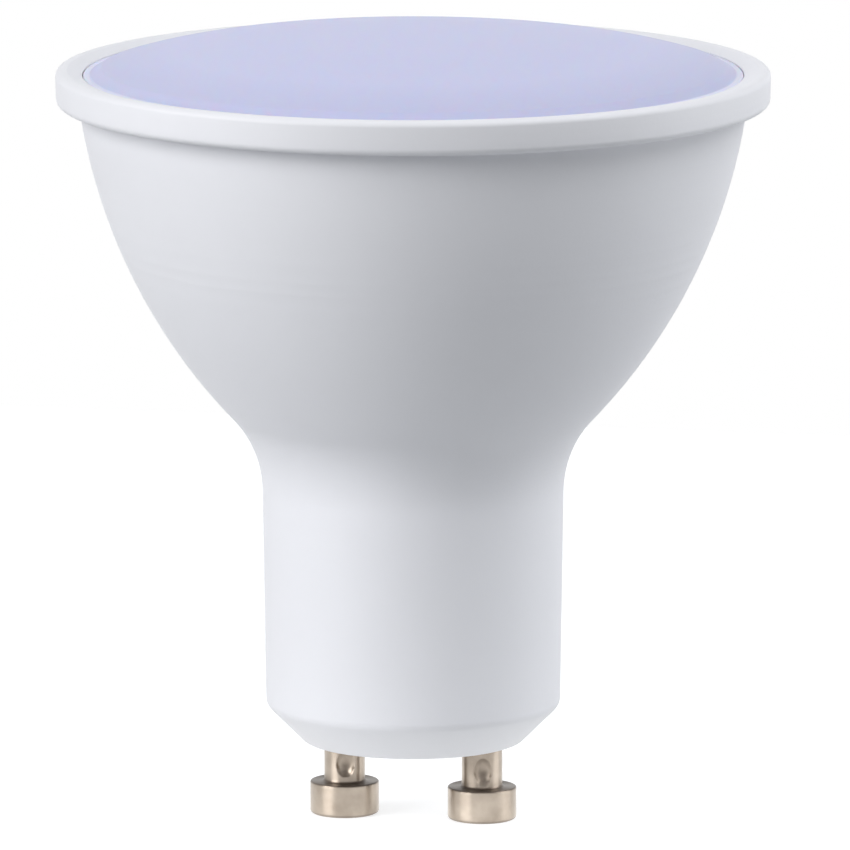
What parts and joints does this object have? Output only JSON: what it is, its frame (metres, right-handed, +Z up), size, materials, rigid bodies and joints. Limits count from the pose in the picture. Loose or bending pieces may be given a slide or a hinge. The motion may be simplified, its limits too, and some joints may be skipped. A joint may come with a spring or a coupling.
{
  "type": "gu10 spotlight bulb",
  "caption": "Mains spotlight bulb: white bowl-shaped housing, domed milky diffuser and twist-lock contact pins with disc heads.",
  "frame": {"origin": "midway between the two pin ends, on the plane of those ends", "axes": "+Z up the lamp's axis from the pins to the diffuser; the pins stand side by side along X; +Y away from the side the picture shows"},
  "size_m": [0.0504, 0.0504, 0.0563],
  "materials": {
    "housing_plastic": "satin white moulding with a fine spark-eroded texture",
    "milky_cover": "smooth milky lavender diffuser, unlit",
    "plated_pin": "turned brass, nickel plated, warm and slightly dull"
  },
  "bodies": {
    "root": {"housing": "housing_plastic", "diffuser": "milky_cover", "contact_pin_left": "plated_pin", "contact_pin_right": "plated_pin"}
  },
  "joints": []
}
